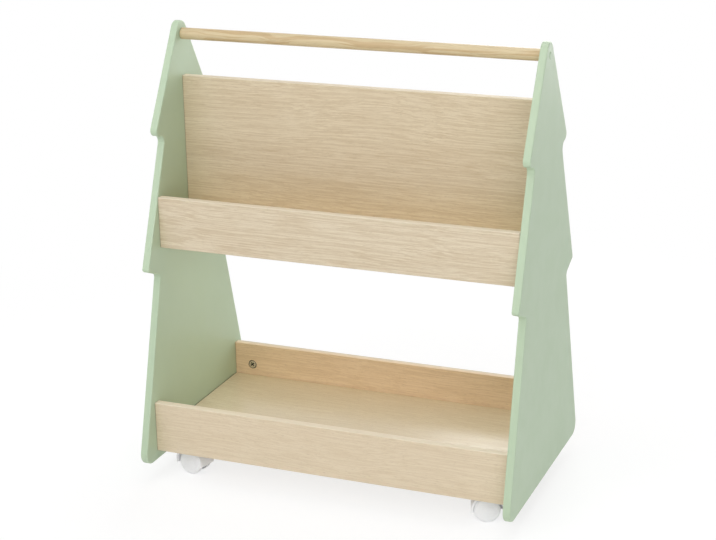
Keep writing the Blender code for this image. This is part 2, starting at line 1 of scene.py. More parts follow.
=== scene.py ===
"""The looks of the mobile book rack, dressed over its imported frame.

New pieces are grids of points worked out with numpy. Boards, bolts and axles keep
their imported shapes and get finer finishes. Lengths are metres, the front faces -Y.
A profile is a list of corners (radius, height, round), from the axis and back to it.
"""
import math

import bmesh
import bpy
import numpy as np
from mathutils import Matrix, Vector


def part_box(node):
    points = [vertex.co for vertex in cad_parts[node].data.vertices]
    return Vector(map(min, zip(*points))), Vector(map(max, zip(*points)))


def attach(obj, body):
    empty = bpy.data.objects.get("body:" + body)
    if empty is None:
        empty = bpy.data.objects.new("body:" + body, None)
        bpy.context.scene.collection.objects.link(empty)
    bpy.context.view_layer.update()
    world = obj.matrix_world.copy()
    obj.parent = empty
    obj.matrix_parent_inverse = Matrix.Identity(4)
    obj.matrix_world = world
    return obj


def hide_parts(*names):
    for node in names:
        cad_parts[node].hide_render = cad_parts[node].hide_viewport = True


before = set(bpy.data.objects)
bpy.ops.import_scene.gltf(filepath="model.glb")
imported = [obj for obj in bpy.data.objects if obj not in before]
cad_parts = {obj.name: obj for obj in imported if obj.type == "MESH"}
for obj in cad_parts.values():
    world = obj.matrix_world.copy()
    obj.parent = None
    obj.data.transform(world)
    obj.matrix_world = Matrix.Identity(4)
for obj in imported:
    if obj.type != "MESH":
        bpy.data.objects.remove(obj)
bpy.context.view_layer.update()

X_AXIS, Y_AXIS, Z_AXIS = np.eye(3)
SHARP_ANGLE = math.radians(35)

# Side panels: corners (depth, height) over the panel's lower edge, and their rounds
PANEL_EDGE_ROUND = 0.002
PANEL_CORNERS = [
    ((0.0, 0.0), None),
    ((0.183, 0.0), 0.018),
    ((0.1055, 0.2925), 0.007),
    ((0.1423, 0.3076), 0.005),
    ((0.069, 0.504), 0.011),
    ((0.0985, 0.5103), 0.009),
    ((0.0, 0.6867), 0.015),
    ((-0.0985, 0.5103), None),
]

# Rail ends, and the profiles of a cover cap and a rail screw. Their heights point
# outwards, the foot that both share lies on the panel, and the thread starts inside it
RAIL_END_ROUND = 0.0008
CAP_FOOT = -0.0003
CAP_PROFILE = [
    (0, 0.0007, 0), (0.0054, 0.0006, 0.0005), (0.0060, CAP_FOOT, 0.0001),
    (0, CAP_FOOT, 0),
]
RAIL_SCREW_PROFILE = [
    (0, CAP_FOOT, 0), (0.0042, CAP_FOOT, 0.0002), (0.0042, -0.0009, 0.0002),
    (0.0019, -0.0033, 0.0004), (0.0019, -0.0120, 0.0002), (0, -0.0120, 0),
]
RAIL_THREAD_START = 0.0115

# Cams: a lid over a round wall that stays open towards the bolt. The shade painted
# into their hollows starts at one depth and is full at the next
CAM_RADIUS = 0.0074
CAM_HEIGHT = 0.0100
CAM_LID = 0.0019
CAM_LAP = 0.0002
CAM_WALL_INSIDE = 0.0055
CAM_SHADE_DEPTHS = 0.0002, 0.0010
CAM_WALL_ENDS = math.radians(38), math.radians(322)
CAM_CROSS = {"radius": 0.0057, "dome": 0.0, "arm": 0.0078, "width": 0.0021,
             "depth": 0.0014, "turn": math.radians(38)}
CAM_RIM = [
    (0.0058, -0.00005), (0.0060, -0.0002), (0.0061, -0.0011), (0.0063, -0.0014),
    (CAM_RADIUS - 0.0001, -0.0014), (CAM_RADIUS, -0.0016), (CAM_RADIUS, -0.0018),
    (CAM_RADIUS, -CAM_LID), (CAM_WALL_INSIDE, -CAM_LID),
]

# Casters: how far each one is turned, in degrees, and the sizes of its pieces. They
# are the frame's, apart from the hood's wall, which is 0.8 mm thicker inwards
CASTER_TURNS = {"front_left": -12.0, "front_right": 199.0,
                "rear_left": 28.0, "rear_right": 160.0}
TRAIL = 0.010
HOOD_CENTRE = 0.0085
HOOD_OUTER = 0.0255
HOOD_INNER = 0.0217
HOOD_HALF_WIDTH = 0.016
HOOD_EDGE_DROP = 0.004
HOOD_OUTER_ROUND, HOOD_INNER_ROUND = 0.0014, 0.0005
WEB_THICKNESS = 0.004
COLLAR_TOP, COLLAR_FOOT, COLLAR_RADIUS = 0.0504, 0.0260, 0.0090
BOSS_TOP, BOSS_FOOT, BOSS_RADIUS = 0.0440, 0.0230, 0.0057
HUB_HALF_LENGTH, HUB_RADIUS = 0.0057, 0.0050

# Wheels: the profile runs over the disc, down the tread and back through the cup
WHEEL_RADIUS = 0.020
WHEEL_WIDTH = 0.011
WHEEL_SEAT = 0.006
WHEEL_PROFILE = [
    (0, WHEEL_WIDTH, 0), (0.0045, 0.0109, 0.0030), (0.0060, 0.0104, 0.0006),
    (0.0086, 0.0103, 0.0006), (0.0094, 0.0100, 0.0005), (0.0138, 0.0100, 0.0005),
    (0.0146, 0.0103, 0.0006), (0.0172, 0.0100, 0.0020), (0.0196, 0.0086, 0.0016),
    (WHEEL_RADIUS, 0.0050, 0.0100), (0.0198, 0.0004, 0.0005), (0.0188, 0, 0.0002),
    (0.0180, 0, 0.0002), (0.0180, 0.0080, 0.0008), (0.0052, 0.0080, 0.0008),
    (0.0050, 0, 0.0003), (0.0023, 0, 0.0002), (0.0023, 0.0083, 0.0002),
    (0, 0.0083, 0),
]

# Caster plates, downwards from the board: sheet, ball race with kingpin, wood screws
PLATE_HALF = 0.019
PLATE_THICKNESS = 0.002
PLATE_CORNER_ROUND = 0.004
RACE_PROFILE = [
    (0, -0.0010, 0), (0.0130, -0.0010, 0.0002), (0.0130, -0.0045, 0.0012),
    (0.0092, -0.0070, 0.0006), (0.0030, -0.0070, 0.0002), (0.0030, -0.0213, 0.0008),
    (0, -0.0213, 0),
]
WOOD_SCREW_PLACE = 0.0145
WOOD_SCREW_CROSS = {"radius": 0.0035, "dome": 0.0013, "arm": 0.0036,
                    "width": 0.0010, "depth": 0.0011, "turn": math.radians(20),
                    "rows": 14, "columns": 56}
WOOD_SCREW_RIM = [(0.0035, -0.0004), (0.0035, -0.0009), (0.0015, -0.0009)]
WOOD_SCREW_HEAD, WOOD_SCREW_THREAD = -0.0027, -0.0015

# Colours, as linear red, green and blue
MINT_DEEP, MINT_PALE = (0.486, 0.607, 0.432), (0.511, 0.631, 0.453)
# The rims' paler mint is a painted highlight; the speck is the lacquer's own
MINT_RIM_HIGHLIGHT, MINT_SPECK = (0.590, 0.690, 0.530), (0.430, 0.540, 0.375)
CAP_DEEP, CAP_PALE = (0.490, 0.610, 0.436), (0.512, 0.634, 0.456)
OAK_PALE, OAK_DARK, OAK_PORE = (
    (0.800, 0.668, 0.482), (0.585, 0.430, 0.262), (0.420, 0.300, 0.180))
OAK_BAND, JOINT_SHADE = (0.880, 0.800, 0.660), (0.130, 0.100, 0.060)
PINE_EARLY, PINE_LATE, PINE_FIBRE = (
    (0.655, 0.532, 0.318), (0.510, 0.345, 0.170), (0.490, 0.360, 0.190))
NICKEL_DULL, NICKEL_BRIGHT = (0.600, 0.580, 0.540), (0.700, 0.680, 0.640)
ZINC_DULL, ZINC_BRIGHT = (0.660, 0.580, 0.430), (0.780, 0.690, 0.520)
# The cams' hollows get a painted shade
ZINC_HOLLOW_SHADE = (0.020, 0.018, 0.015)
NYLON_SHADE, NYLON_WHITE = (0.955, 0.960, 0.980), (0.970, 0.975, 0.990)
FLOOR_SHADE, FLOOR_PALE = (0.920, 0.920, 0.920), (0.940, 0.940, 0.940)
WHITE = (1, 1, 1)

# Boards: the tone over the oak's colours and the contrast of the grain. Some have
# their own sheen and gloss, or a painted bounce: warm light from the boards around,
# painted into the colour, given by its axis, the distances from the board's low
# corner at which it starts and is full, and its colour
OAK_LOOKS = {
    "bin_divider": {
        "tone": (0.925, 0.945, 0.945), "contrast": 0.72,
        # Painted bounce: lighter and warmer towards the divider's foot, deep in the bin
        "painted_bounce": (2, 0.105, 0.025, (1.12, 1.12, 1.08))},
    "bin_front_lip": {"tone": (0.970, 1.015, 1.070), "contrast": 0.80},
    "bin_rear_lip": {"tone": (0.970, 1.015, 1.070), "contrast": 0.80},
    # The shelf's paler tone is partly painted bounce light from the boards around
    "bin_shelf_board": {"tone": (1.080, 1.070, 1.020), "contrast": 0.45},
    # The tray floor's paler, whiter tone is partly a painted sheen
    "tray_floor_board": {
        "tone": (1.030, 1.060, 1.050), "contrast": 0.45, "sheen": 0.16, "gloss": 1.6},
    "tray_front_board": {"tone": (0.985, 1.005, 1.030), "contrast": 0.45},
    "tray_rear_board": {
        "tone": (0.985, 1.005, 1.030), "contrast": 0.60,
        # Painted bounce: warmer on the board's inner face, which looks into the tray
        "painted_bounce": (1, 0.008, 0.004, (1.137, 1.025, 0.937))},
}

# Where the dark of a board's end joints starts and is full, measured from the middle,
# and the same of an upright board's paler edge band, measured down from its top
JOINT_FROM, JOINT_FULL = 0.2860, 0.2873
BAND_FROM, BAND_FULL = 0.0016, 0.0006

# The photograph's camera: place, yaw, pitch and roll in degrees, lens and shift
CAMERA_PLACE = (0.940452, -2.252065, 1.142056)
CAMERA_TURNS = (21.138, -16.314, -0.697)
CAMERA_SENSOR, CAMERA_LENS = 36.0, 84.007
CAMERA_SHIFT = (-0.0599, -0.0881)

# Light: the surround's level, and each softbox's name, place, width and level
WORLD_LEVEL = 0.02
SOFTBOX_AIM = (0, 0, 0.35)
SOFTBOXES = [
    ("front_left_high", (-1.6, -2.2, 2.0), 2.0, 0.19),
    ("front_high", (0.0, -2.4, 2.4), 2.0, 0.26),
    ("front_right_low", (2.2, -2.3, 0.8), 2.0, 0.23),
    ("front_right", (1.2, -2.9, 1.5), 2.0, 0.115),
    ("top", (0.0, -0.3, 3.5), 2.0, 0.30),
    ("left", (-3.2, -0.6, 1.2), 2.0, 0.22),
    ("rear_right", (3.0, 1.6, 0.8), 2.0, 0.13),
    ("rear_low", (0.35, 3.0, 1.1), 2.6, 0.57),
    ("rear_top", (0.3, 1.6, 2.8), 2.0, 0.24),
]

# Floor: seen directly, it is a dim matt surface and a glow, and far off plain white
FLOOR_HALF = 12.0
FLOOR_DIM = (0.27, 0.27, 0.27)
FLOOR_GLOW = 0.77
FLOOR_WHITE_FROM, FLOOR_WHITE_BEYOND = 0.7, 1.3


# Surfaces

def eased(corners, radii, steps=6, hold=0.0):
    """Round the corners of a path, and return its points with their side normals.

    A corner becomes the arc centre + s * r * n(a), whose normal n turns evenly from
    the normal of the edge before it to that of the edge after it; s is +1 where the
    path turns left and -1 where it turns right. With a hold, one more point lies on
    the straight run at that distance before and after each arc."""
    corners = np.asarray(corners, float)
    points, normals = [corners[:1]], [np.zeros((1, 2))]
    for before, corner, after, radius in zip(corners, corners[1:], corners[2:], radii):
        came = (corner - before) / np.linalg.norm(corner - before)
        goes = (after - corner) / np.linalg.norm(after - corner)
        turn = math.atan2(came[0] * goes[1] - came[1] * goes[0], came @ goes)
        side = math.copysign(1, turn)
        first = math.atan2(-came[0], came[1])
        angle = first + turn * np.linspace(0, 1, steps + 1)
        normal = np.stack((np.cos(angle), np.sin(angle)), axis=1)
        reach = radius * math.tan(abs(turn) / 2)
        centre = corner - came * reach - side * radius * normal[0]
        arc = centre + side * radius * normal
        if hold:
            arc = np.vstack((arc[0] - came * hold, arc, arc[-1] + goes * hold))
            normal = np.vstack((normal[0], normal, normal[-1]))
        points.append(arc)
        normals.append(normal)
    points.append(corners[-1:])
    normals.append(np.zeros((1, 2)))
    return np.vstack(points), np.vstack(normals)


def around(count):
    """Evenly spaced angles of one whole turn."""
    return np.arange(count) * 2 * math.pi / count


def stacked(x, y, z):
    """Points from three arrays that fit each other's shape."""
    return np.stack(np.broadcast_arrays(x, y, z), axis=-1)


def ringed(pairs, columns):
    """One ring round Z for each (radius, height), shaped (row, column, 3)."""
    pairs = np.asarray(pairs, float)
    radius, height, angle = pairs[:, :1], pairs[:, 1:], around(columns)
    return stacked(radius * np.cos(angle), radius * np.sin(angle), height)


def grid_faces(rows, columns):
    """Four-sided faces between the neighbours of a grid that is numbered row by row
    and whose last column meets its first."""
    row, column = np.arange(rows - 1)[:, None], np.arange(columns)[None, :]
    beside = (column + 1) % columns
    corners = (row * columns + column, row * columns + beside,
               (row + 1) * columns + beside, (row + 1) * columns + column)
    return np.stack(np.broadcast_arrays(*corners), axis=-1).reshape(-1, 4).tolist()


def capped(rings, first_pole, last_pole):
    """Close a tube of rings, shaped (row, column, 3), with a pole at either end."""
    rows, columns = rings.shape[:2]
    count = rows * columns
    points = np.vstack((rings.reshape(-1, 3), [first_pole], [last_pole]))
    column = np.arange(columns)
    beside = (column + 1) % columns
    last = count - columns
    first_fan = np.stack((np.full(columns, count), beside, column), axis=1)
    last_fan = np.stack((np.full(columns, count + 1), last + column, last + beside),
                        axis=1)
    faces = grid_faces(rows, columns) + first_fan.tolist() + last_fan.tolist()
    return points, faces


def turned(profile, arc_steps, columns, hold=0.0):
    """Round the corners of a profile and turn it about Z."""
    profile = np.asarray(profile, float)
    pairs, _ = eased(profile[:, :2], profile[1:-1, 2], arc_steps, hold)
    return capped(ringed(pairs[1:-1], columns), (0, 0, pairs[0, 1]),
                  (0, 0, pairs[-1, 1]))


def rod(radius, top, foot, top_round, foot_round):
    """The profile of a plain round rod."""
    return [(0, top, 0), (radius, top, top_round), (radius, foot, foot_round),
            (0, foot, 0)]


def placed(shell, origin, across, up, along):
    """Carry a shell's (x, y, z) to origin + x * across + y * up + z * along."""
    points, faces = shell
    axes = np.array((across, up, along), float)
    return np.asarray(points) @ axes + np.asarray(origin, float), faces


def slab(outline, normals, thickness, edge_round, steps=5, hold=0.0008):
    """Make a plate from one half of an outline, given from bottom to top.

    The rim's section is a quarter circle of the edge's radius on either side: a row
    at angle t lies r * (1 - sin t) inside the outline and r * (1 - cos t) from its
    face. One more row lies on the face, further in by the hold. The flat faces are
    level strips from each point to its mirrored one."""
    outline, normals = np.asarray(outline), np.asarray(normals)
    peak = abs(outline[-1, 0]) < 1e-6
    mirror = slice(-2, None, -1) if peak else slice(None, None, -1)
    flip = np.array((-1.0, 1.0))
    loop = np.vstack((outline, outline[mirror] * flip))
    outward = np.vstack((normals, normals[mirror] * flip))
    angle = np.linspace(0, math.pi / 2, steps + 1)
    inset = np.concatenate(([edge_round + hold], edge_round * (1 - np.sin(angle))))
    rise = np.concatenate(([0.0], edge_round * (1 - np.cos(angle))))
    inset = np.concatenate((inset, inset[::-1]))
    height = np.concatenate((rise, thickness - rise[::-1])) - thickness / 2
    rows = loop[None] - inset[:, None, None] * outward[None]
    points = stacked(rows[..., 0], rows[..., 1], height[:, None]).reshape(-1, 3)
    count, half = len(loop), len(outline)
    faces = grid_faces(len(inset), count)
    right = np.arange(half - (2 if peak else 1))
    left = count - 1 - right
    strips = np.stack((right, right + 1, left - 1, left), axis=1).tolist()
    if peak:
        strips.append([half - 2, half - 1, half])
    top = (len(inset) - 1) * count
    faces += strips + [[top + i for i in reversed(face)] for face in strips]
    return points, faces


def arc_band(section, first, last, steps):
    """Carry a closed section of (radius, width) points round the Y axis, from a first
    to a last angle that may differ from point to point, so that its ends lie level."""
    radius, width = np.asarray(section).T
    angle = first + (last - first) * np.linspace(0, 1, steps + 1)[:, None]
    points = stacked(radius * np.cos(angle), width, radius * np.sin(angle))
    count = len(radius)
    faces = grid_faces(steps + 1, count)
    faces += [list(range(count)), [steps * count + i for i in reversed(range(count))]]
    return points.reshape(-1, 3), faces


def rounded_box(low, high, radii, steps=4, hold=0.0003):
    """Return a closed section: a rectangle from low to high with rounded corners."""
    (x0, y0), (x1, y1) = low, high
    middle = ((x0 + x1) / 2, y0)
    corners = [middle, (x1, y0), (x1, y1), (x0, y1), (x0, y0), middle]
    points, _ = eased(corners, radii, steps, hold)
    return points[:-1]


def smoothstep(value, low, high):
    """Rise from 0 at low to 1 at high as 3 t^2 - 2 t^3."""
    share = np.clip((value - low) / (high - low), 0, 1)
    return share * share * (3 - 2 * share)


def cross_head(rim, radius, dome, arm, width, depth, turn, rows=22, columns=96):
    """A round driven head with a cross recess, closed below by a rim of
    (radius, height) pairs.

    The height over rings of radius r is dome * (1 - (r / radius)^2), less depth
    inside the cross, which is where the nearer of |x| and |y|, turned by an angle, is
    under half the width and the farther one is under half the arm's span."""
    r = radius * np.linspace(0, 1, rows + 1)[1:, None]
    a = around(columns)
    x, y = abs(r * np.cos(a - turn)), abs(r * np.sin(a - turn))
    soft = width * 0.12
    inside = smoothstep(-np.minimum(x, y), -width / 2 - soft, -width / 2 + soft)
    inside = inside * smoothstep(-np.maximum(x, y), -arm / 2 - soft, -arm / 2 + soft)
    height = dome * (1 - (r / radius) ** 2) - depth * inside
    face = stacked(r * np.cos(a), r * np.sin(a), height)
    return capped(np.concatenate((face, ringed(rim, columns))),
                  (0, 0, dome - depth), (0, 0, rim[-1][1]))


def threaded(core, crest, pitch, length, tip, columns=20, per_turn=8):
    """A screw thread from z = 0 down: the radius is core + (crest - core) * w^2, where
    w is a triangle wave of z / pitch + a / (2 pi), and it shrinks over the tip."""
    rows = max(8, int(round(length / pitch * per_turn)))
    z = -length * np.linspace(0, 1, rows + 1)[:, None]
    a = around(columns)
    phase = (z / pitch + a / (2 * math.pi)) % 1
    wave = 1 - abs(2 * phase - 1)
    radius = core + (crest - core) * wave ** 2
    radius = radius * np.clip((length + z) / tip, 0.08, 1)
    rings = stacked(radius * np.cos(a), radius * np.sin(a), z)
    return capped(rings, (0, 0, 0), (0, 0, -length))


def add_piece(name, shells, finish, body, slot, *nodes):
    """Join shells into one piece that rides on a body and stands for frame nodes."""
    points, faces, count = [], [], 0
    for shell_points, shell_faces in shells:
        points.append(np.asarray(shell_points, float))
        faces += [[count + i for i in face] for face in shell_faces]
        count += len(shell_points)
    mesh = bpy.data.meshes.new(name)
    mesh.from_pydata(np.vstack(points).tolist(), [], faces)
    shape = bmesh.new()
    shape.from_mesh(mesh)
    bmesh.ops.recalc_face_normals(shape, faces=shape.faces)
    shape.to_mesh(mesh)
    shape.free()
    mesh.shade_smooth()
    mesh.set_sharp_from_angle(angle=SHARP_ANGLE)
    mesh.materials.append(finish)
    piece = bpy.data.objects.new(name, mesh)
    bpy.context.scene.collection.objects.link(piece)
    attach(piece, body)
    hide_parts(*nodes)
    return piece


def store(piece, name, values):
    """Keep one number for each point of a piece, for its finish to read."""
    layer = piece.data.attributes.new(name, "FLOAT", "POINT")
    layer.data.foreach_set("value", values.astype(np.float32))


# Finishes

class Wire:
    """A socket's value: arithmetic on it adds Math nodes to the finish."""

    def __init__(self, nodes, socket):
        self.nodes, self.socket = nodes, socket

    def math(self, operation, *values):
        """Add one Math node that takes this value first."""
        node = self.nodes.node("ShaderNodeMath", {"operation": operation},
                               dict(enumerate((self, *values))))
        return Wire(self.nodes, node.outputs[0])

    def __add__(self, other):
        return self.math("ADD", other)

    def __sub__(self, other):
        return self.math("SUBTRACT", other)

    def __mul__(self, other):
        return self.math("MULTIPLY", other)

    def __rsub__(self, other):
        return self.math("MULTIPLY", -1.0).math("ADD", other)

    __radd__ = __add__
    __rmul__ = __mul__


class Nodes:
    """A node tree under construction, emptied first."""

    def __init__(self, tree):
        self.tree = tree
        tree.nodes.clear()

    def node(self, kind, settings=None, sockets=None):
        """Add a node: its settings first, then the values or links of its sockets."""
        node = self.tree.nodes.new(kind)
        for key, value in (settings or {}).items():
            setattr(node, key, value)
        for key, value in (sockets or {}).items():
            socket = node.inputs[key]
            if isinstance(value, Wire):
                value = value.socket
            if isinstance(value, bpy.types.NodeSocket):
                self.tree.links.new(value, socket)
            elif socket.type == "RGBA":
                socket.default_value = (*value, 1.0)
            else:
                socket.default_value = value
        return node

    def seen_directly(self):
        """1 for camera, mirror and see-through rays, and 0 for light on the object."""
        rays = self.node("ShaderNodeLightPath").outputs
        camera = Wire(self, rays["Is Camera Ray"])
        return camera.math("MAXIMUM", rays["Is Glossy Ray"]).math(
            "MAXIMUM", rays["Is Transmission Ray"])

    def either(self, factor, first, second):
        """Mix two shaders by a factor."""
        return self.node("ShaderNodeMixShader", {}, {
            0: factor, 1: first.outputs[0], 2: second.outputs[0]})


class Finish(Nodes):
    """A material under construction, made of nodes round one Principled shader."""

    def __init__(self, name, **constants):
        self.material = bpy.data.materials.new(name)
        self.material.use_nodes = True
        super().__init__(self.material.node_tree)
        self.shader = self.node("ShaderNodeBsdfPrincipled", {}, constants)
        self.output = self.node("ShaderNodeOutputMaterial", {},
                                {"Surface": self.shader.outputs[0]})
        self.place = self.node("ShaderNodeTexCoord").outputs["Object"]

    def stretched(self, scale, shift=(0, 0, 0), vector=None):
        """Object coordinates scaled by a vector and then shifted."""
        return self.node("ShaderNodeMapping", {}, {
            "Vector": vector or self.place, "Location": shift,
            "Scale": scale}).outputs[0]

    def noise(self, vector, scale=1.0, detail=2.0, roughness=0.5):
        """Noise from 0 to 1 on a vector, with this many cells in a metre."""
        return Wire(self, self.node("ShaderNodeTexNoise", {}, {
            "Vector": vector, "Scale": scale, "Detail": detail,
            "Roughness": roughness}).outputs[0])

    def between(self, value, low, high, to_low=0.0, to_high=1.0):
        """Ease a value from one range to another, clamped."""
        return Wire(self, self.node(
            "ShaderNodeMapRange", {"interpolation_type": "SMOOTHSTEP"},
            {"Value": value, "From Min": low, "From Max": high,
             "To Min": to_low, "To Max": to_high}).outputs[0])

    def mixed(self, factor, first, second, blend="MIX"):
        """Mix two colours by a factor."""
        return self.node("ShaderNodeMix", {"data_type": "RGBA", "blend_type": blend},
                         {0: factor, 6: first, 7: second}).outputs[2]

    def split(self):
        """The three object coordinates."""
        node = self.node("ShaderNodeSeparateXYZ", {}, {0: self.place})
        return [Wire(self, socket) for socket in node.outputs]

    def joined(self, x, y, z):
        """One vector of three numbers."""
        return self.node("ShaderNodeCombineXYZ", {}, {0: x, 1: y, 2: z}).outputs[0]

    def attribute(self, name):
        """A number stored on the mesh's points."""
        return Wire(self, self.node("ShaderNodeAttribute",
                                    {"attribute_name": name}).outputs["Fac"])

    def paint(self, colour, roughness, height, distance, strength):
        """Feed the shader's colour, its roughness and a bump of that height."""
        bump = self.node("ShaderNodeBump", {}, {
            "Strength": strength, "Distance": distance, "Height": height})
        for name, socket in (("Base Color", colour), ("Roughness", roughness.socket),
                             ("Normal", bump.outputs[0])):
            self.tree.links.new(socket, self.shader.inputs[name])
        return self.material


def mint_lacquer(name):
    """Sprayed satin lacquer: soft mottling, an orange-peel skin, and a painted highlight
    that makes the rounds of the rims paler.
    """
    f = Finish(name, IOR=1.5)
    cloud = f.noise(f.place, 7.0, 3.0)
    speck = f.noise(f.place, 900.0)
    edge = f.attribute("edge")
    colour = f.mixed(cloud, MINT_DEEP, MINT_PALE)
    # Painted highlight: the rounds of the rims are mixed towards a paler mint
    colour = f.mixed(edge * 0.15, colour, MINT_RIM_HIGHLIGHT)
    colour = f.mixed(speck * 0.05, colour, MINT_SPECK)
    rough = f.between(f.noise(f.place, 35.0, 3.0), 0.3, 0.7, 0.40, 0.48) - edge * 0.05
    peel = f.noise(f.place, 420.0) + f.noise(f.place, 130.0, 1.0) * 0.6
    return f.paint(colour, rough, peel, 0.00006, 0.5)


def oak_laminate(name, shift, band_top, tone, contrast, sheen=0.28, gloss=1.45,
                 painted_bounce=None):
    """Printed light oak: growth lines that arch gently along X, short dashes and
    fine pores, pressed a little into the sheet.

    The tone multiplies its colours, the contrast weighs its grain, the sheen is its
    least roughness and the gloss its index of refraction. The edge band is paler
    along the top of an upright board, and the joints at the ends are dark. A painted
    bounce multiplies the colour between two places along an axis: warm light that
    the boards around would throw, painted in."""
    f = Finish(name, IOR=gloss)
    pale, dark, pore = (tuple(c * t for c, t in zip(colour, tone))
                        for colour in (OAK_PALE, OAK_DARK, OAK_PORE))
    sway = f.noise(f.stretched((2.2, 6.0, 6.0), shift), 1.0, 1.0)
    ripple = f.noise(f.stretched((12.0, 40.0, 40.0), shift), 1.0, 1.0)
    x, y, z = f.split()
    bend = (sway - 0.5) * 0.045 + (ripple - 0.5) * 0.005
    warped = f.joined(x, y + bend, z + bend)
    lines = f.noise(f.stretched((6.0, 520.0, 520.0), shift, warped), 1.0, 2.0, 0.6)
    dashes = f.noise(f.stretched((40.0, 800.0, 800.0), shift, warped), 1.0, 2.0, 0.6)
    pores = f.noise(f.stretched((130.0, 2100.0, 2100.0), shift, warped), 1.0, 1.0)
    bands = f.noise(f.stretched((1.6, 24.0, 24.0), shift, warped), 1.0, 1.0)
    grain = (f.between(lines, 0.38, 0.62) * 0.58 + f.between(dashes, 0.42, 0.64) * 0.30
             + f.between(bands, 0.3, 0.7) * 0.16)
    pitted = f.between(pores, 0.60, 0.72)
    colour = f.mixed(grain * contrast, pale, dark)
    colour = f.mixed(pitted * 0.35, colour, pore)
    rough = f.between(grain, 0.0, 1.0, sheen, sheen + 0.10)
    if band_top:
        band = f.between(z, band_top - BAND_FROM, band_top - BAND_FULL)
        colour = f.mixed(band * 0.5, colour, OAK_BAND)
        rough = rough + band * 0.25
    joint = f.between(x.math("ABSOLUTE"), JOINT_FROM, JOINT_FULL)
    colour = f.mixed(joint * (0.3 if band_top else 1.0), colour, JOINT_SHADE)
    # Painted bounce light: warm light from the boards around, multiplied into the colour
    if painted_bounce:
        axis, start, full, shade = painted_bounce
        colour = f.mixed(f.between((x, y, z)[axis], start, full), colour, shade,
                         "MULTIPLY")
    return f.paint(colour, rough, 1.0 - grain * 0.5 - pitted, 0.00006, 0.5)


def varnished_pine(name):
    """Clear-varnished pine: pinkish late-wood lines along X under a smooth gloss."""
    f = Finish(name, **{"IOR": 1.45, "Coat Weight": 0.25, "Coat Roughness": 0.25})
    x, y, z = f.split()
    sway = f.noise(f.stretched((6.5, 14.0, 14.0)))
    bend = (sway - 0.5) * 0.036
    warped = f.joined(x, y + bend, z + bend)
    rings = f.noise(f.stretched((3.2, 230.0, 230.0), vector=warped), 1.0, 1.0)
    fibres = f.noise(f.stretched((28.0, 1400.0, 1400.0), vector=warped))
    late = f.between(rings, 0.46, 0.60)
    colour = f.mixed(late * 0.65, PINE_EARLY, PINE_LATE)
    colour = f.mixed(f.between(fibres, 0.45, 0.75) * 0.25, colour, PINE_FIBRE)
    rough = f.between(fibres, 0.3, 0.7, 0.36, 0.46)
    return f.paint(colour, rough, 1.0 - fibres * 0.6 - late * 0.3, 0.00005, 0.4)


def nickel_steel(name):
    """Bright nickel over drawn steel: fine scratches and a few duller clouds."""
    f = Finish(name, Metallic=1.0)
    scratches = f.noise(f.stretched((400.0, 400.0, 3000.0)))
    cloud = f.noise(f.place, 260.0)
    colour = f.mixed(cloud, NICKEL_DULL, NICKEL_BRIGHT)
    rough = f.between(scratches, 0.3, 0.7, 0.22, 0.38)
    return f.paint(colour, rough, scratches, 0.00003, 0.3)


def cast_zinc(name):
    """Tumbled die-cast zinc: pale and lightly pitted, with shade painted dark into its
    hollows.
    """
    f = Finish(name, Metallic=0.7)
    grit = f.noise(f.place, 2600.0)
    cloud = f.noise(f.place, 420.0, 3.0)
    colour = f.mixed(cloud, ZINC_DULL, ZINC_BRIGHT)
    # Painted shade: darker with depth in the cross recess and the groove round the lid
    colour = f.mixed(f.attribute("hollow_shade") * 0.96, colour, ZINC_HOLLOW_SHADE)
    rough = f.between(cloud, 0.3, 0.7, 0.38, 0.55)
    return f.paint(colour, rough, grit + cloud, 0.00008, 0.6)


def mint_cap(name):
    """A moulded cap in the lacquer's colour: smooth, with a faint moulding haze."""
    f = Finish(name, IOR=1.5)
    haze = f.noise(f.place, 300.0)
    colour = f.mixed(haze, CAP_DEEP, CAP_PALE)
    rough = f.between(haze, 0.3, 0.7, 0.42, 0.50)
    return f.paint(colour, rough, haze, 0.00003, 0.3)


def white_nylon(name):
    """Moulded white nylon: cool white, a faint flow pattern, fine spark texture."""
    f = Finish(name, IOR=1.53)
    flow = f.noise(f.place, 60.0)
    spark = f.noise(f.place, 2200.0)
    colour = f.mixed(flow, NYLON_SHADE, NYLON_WHITE)
    rough = f.between(flow, 0.3, 0.7, 0.30, 0.42) + spark * 0.05
    return f.paint(colour, rough, spark, 0.00003, 0.35)


# The rack

def dress_panels(finish):
    """Make both side panels: a stepped outline with eased rims, mirrored about y = 0."""
    corners = [corner for corner, _ in PANEL_CORNERS]
    radii = [radius for _, radius in PANEL_CORNERS[1:-1]]
    arc_steps = 10
    path, normals = eased(corners, radii, arc_steps, 0.001)
    # Half an outline: from the foot's first arc to the middle of the arc at the tip
    half_outline = slice(2, len(path) - 2 - arc_steps // 2)
    half, outward = path[half_outline], normals[half_outline].copy()
    half[-1, 0] = 0.0
    outward[-1] = (0.0, 1.0)
    for label in ("left", "right"):
        low, high = map(np.array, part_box("side_panel_" + label))
        thickness = high[0] - low[0]
        shell = slab(half, outward, thickness, PANEL_EDGE_ROUND)
        shell = placed(shell, ((low[0] + high[0]) / 2, 0, low[2]),
                       Y_AXIS, Z_AXIS, X_AXIS)
        piece = add_piece(f"panel_{label}", [shell], finish, "rack", "mint_lacquer",
                          "side_panel_" + label)
        # The edge is 1 on the rim's rounds, and 0 on the faces and midway between them
        away = np.minimum(shell[0][:, 0] - low[0], high[0] - shell[0][:, 0])
        edge = smoothstep(away, 0, PANEL_EDGE_ROUND * 0.3)
        edge = edge * (1 - smoothstep(away, PANEL_EDGE_ROUND * 0.6, PANEL_EDGE_ROUND))
        store(piece, "edge", edge)


